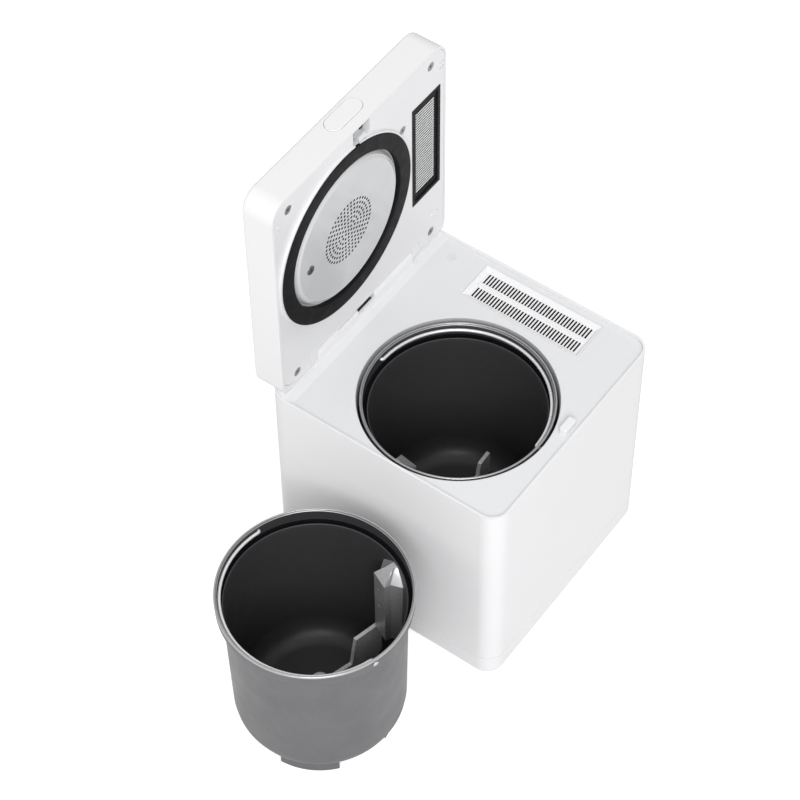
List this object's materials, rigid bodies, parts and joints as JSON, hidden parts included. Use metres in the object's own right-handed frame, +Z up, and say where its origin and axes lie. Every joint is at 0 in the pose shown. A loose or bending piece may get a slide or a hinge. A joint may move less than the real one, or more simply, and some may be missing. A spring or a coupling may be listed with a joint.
{
  "type": "electric food waste composter",
  "caption": "Square countertop food waste composter with a hinged vented lid, a lift-out stirring bucket inside and a second bucket standing beside it.",
  "frame": {"origin": "on the floor under the centre of the square machine body", "axes": "+Z up, front of the machine towards -Y, spare bucket on the -X side"},
  "size_m": [0.4908, 0.288, 0.5522],
  "materials": {
    "bare_aluminium": "spun",
    "black_plastic": "matte black moulding",
    "board": "solder mask",
    "bronze": "sintered",
    "cast_alloy": "cast",
    "charcoal": "granular",
    "clear_panel": "smoky grey gloss",
    "dark_glass": "black glass",
    "deck_plastic": "semi-gloss light grey moulding",
    "gear_nylon": "moulded",
    "grey_plastic": "light grey moulding",
    "heater": "silicone heater mat",
    "nonstick": "satin non-stick coat",
    "seal_rubber": "matte black silicone",
    "steel": "bright",
    "white_plastic": "satin white moulding"
  },
  "bodies": {
    "machine": {"base_pan": "white_plastic", "rubber_feet": "seal_rubber", "base_screws": "steel", "outer_shell": "white_plastic", "deck_panel": "deck_plastic", "funnel_ring": "grey_plastic", "vent_tray": "white_plastic", "latch_striker": "white_plastic", "lid_sensor": "grey_plastic", "hinge_pins": "steel", "harness_grommet": "seal_rubber", "bucket_well": "bare_aluminium", "heater_band": "heater", "shaft_seal": "seal_rubber", "gearbox_tray": "black_plastic", "gearbox_cover": "black_plastic", "gearbox_screws": "steel", "idler_pin": "steel", "shaft_bushes": "bronze", "motor": "steel", "air_duct": "black_plastic", "filter_box": "black_plastic", "carbon_filter": "charcoal", "fan_housing": "black_plastic", "control_board": "board", "power_inlet": "black_plastic", "rear_grille": "white_plastic"},
    "drive": {"drive_gear": "gear_nylon", "drive_shaft": "steel"},
    "idler": {"idler_gear": "gear_nylon"},
    "motor_rotor": {"motor_pinion": "steel"},
    "fan": {"fan_impeller": "black_plastic"},
    "lid": {"lid_shell": "white_plastic", "lid_inner_panel": "white_plastic", "lid_gasket": "seal_rubber", "steam_plate": "clear_panel", "window_gasket": "seal_rubber", "window_grille": "grey_plastic", "lid_duct": "black_plastic", "lid_screws": "steel", "touch_panel": "dark_glass", "lid_board": "board", "sensor_magnet": "steel", "latch_spring": "steel"},
    "latch": {"release_button": "white_plastic", "latch_hook": "grey_plastic"},
    "bucket": {"bucket_pot": "nonstick", "bucket_bushing": "bronze", "bucket_breaker_block": "cast_alloy", "bucket_breaker_screws": "steel", "bucket_handle_pivots": "steel"},
    "handle": {"bucket_handle": "steel"},
    "stirrer": {"bucket_stirrer": "cast_alloy"},
    "spare_bucket": {"spare_pot": "nonstick", "spare_bushing": "bronze", "spare_breaker_block": "cast_alloy", "spare_breaker_screws": "steel", "spare_handle_pivots": "steel"},
    "spare_wire": {"spare_handle": "steel"},
    "spare_mixer": {"spare_stirrer": "cast_alloy"}
  },
  "joints": [
    {"name": "lid_hinge", "type": "hinge", "parent": "machine", "child": "lid", "pos_m": [0, 0.1262, 0.2882], "axis": [1, 0, 0], "range_deg": [0, 90]},
    {"name": "release_press", "type": "slide", "parent": "lid", "child": "latch", "axis": [0, 0, -1], "range_m": [0, 0.0022], "stiffness_N_per_m": 400, "springref_m": -0.002, "deforming": ["latch_spring"]},
    {"name": "bucket_lift", "type": "slide", "parent": "machine", "child": "bucket", "axis": [0, 0, -1], "range_m": [-0.22, 0]},
    {"name": "handle_swing", "type": "hinge", "parent": "bucket", "child": "handle", "pos_m": [-0.0305, -0.0183, 0.2659], "axis": [0, 1, 0], "range_deg": [-90, 0]},
    {"name": "drive_spin", "type": "hinge", "parent": "machine", "child": "drive", "pos_m": [-0.0305, -0.0183, 0.03], "axis": [0, 0, 1], "continuous": true},
    {"name": "idler_spin", "type": "hinge", "parent": "machine", "child": "idler", "pos_m": [0.0345, -0.0183, 0.02], "axis": [0, 0, 1], "continuous": true},
    {"name": "motor_spin", "type": "hinge", "parent": "machine", "child": "motor_rotor", "pos_m": [0.0895, -0.0183, 0.02], "axis": [0, 0, 1], "continuous": true},
    {"name": "stirrer_spin", "type": "hinge", "parent": "bucket", "child": "stirrer", "pos_m": [-0.0305, -0.0183, 0.09], "axis": [0, 0, 1], "continuous": true},
    {"name": "fan_spin", "type": "hinge", "parent": "machine", "child": "fan", "pos_m": [0.1023, -0.048, 0.21], "axis": [0, 0, 1], "continuous": true},
    {"name": "spare_lift", "type": "slide", "parent": "machine", "child": "spare_bucket", "axis": [0, 0, -1], "range_m": [-0.22, 0]},
    {"name": "spare_handle_swing", "type": "hinge", "parent": "spare_bucket", "child": "spare_wire", "pos_m": [-0.259, -0.013, 0.2035], "axis": [-0.2924, -0.9563, 0], "range_deg": [-90, 0]},
    {"name": "spare_stirrer_spin", "type": "hinge", "parent": "spare_bucket", "child": "spare_mixer", "pos_m": [-0.259, -0.013, 0.03], "axis": [0, 0, 1], "continuous": true}
  ],
  "couplings": [
    {"joint": "idler_spin", "follows": "drive_spin", "ratio": -4.9091},
    {"joint": "motor_spin", "follows": "drive_spin", "ratio": 19.636},
    {"joint": "stirrer_spin", "follows": "drive_spin", "ratio": 1}
  ]
}
